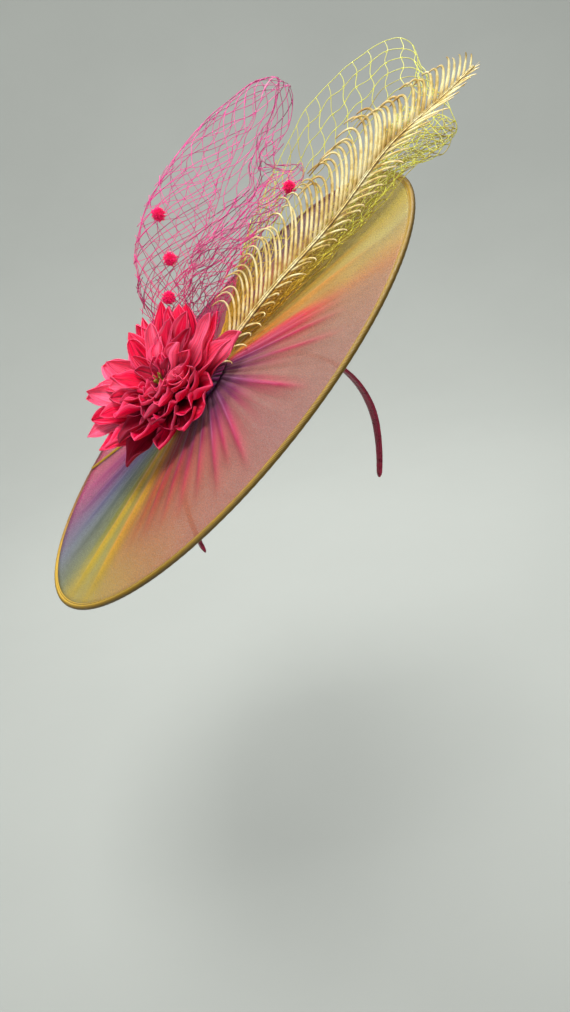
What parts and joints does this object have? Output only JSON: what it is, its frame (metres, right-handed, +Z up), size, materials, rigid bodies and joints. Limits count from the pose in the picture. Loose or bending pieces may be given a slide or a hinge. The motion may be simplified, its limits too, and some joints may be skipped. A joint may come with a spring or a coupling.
{
  "type": "fascinator on a headband",
  "caption": "Fascinator: tilted round organza saucer on a headband, with a dahlia, two net loops, chenille dots and a stripped feather.",
  "frame": {"origin": "inner face of the headband at its top, where it rests on the crown of the head", "axes": "+Z up, the wearer faces -Y, and the wearer's right side is at -X"},
  "size_m": [0.3628, 0.3463, 0.3025],
  "materials": {
    "satin": "burgundy satin ribbon over a stiff band",
    "organza_top": "sheer rainbow organza, pleated into a gather",
    "organza_under": "sheer rainbow organza, smooth lower layer",
    "gold_binding": "olive gold bound edge",
    "petal_silk": "crimson silk petals with darker roots",
    "base_felt": "dark crimson felt button",
    "net_magenta": "magenta net",
    "net_lime": "yellow-green net",
    "chenille": "crimson chenille dots",
    "feather_gold": "stripped feather with gold paint"
  },
  "bodies": {
    "root": {"headband": "satin", "centre_base": "satin", "rim": "gold_binding", "seam_edge": "gold_binding", "brim_top": "organza_top", "brim_under": "organza_under", "trim_base": "base_felt", "flower_core": "petal_silk", "veil_pink": "net_magenta", "veil_yellow": "net_lime", "feather": "feather_gold", "flower_whorl_1": "petal_silk", "pompom_1": "chenille", "flower_whorl_2": "petal_silk", "pompom_2": "chenille", "flower_whorl_3": "petal_silk", "pompom_3": "chenille", "flower_whorl_4": "petal_silk", "pompom_4": "chenille", "flower_whorl_5": "petal_silk", "pompom_5": "chenille"}
  },
  "joints": []
}
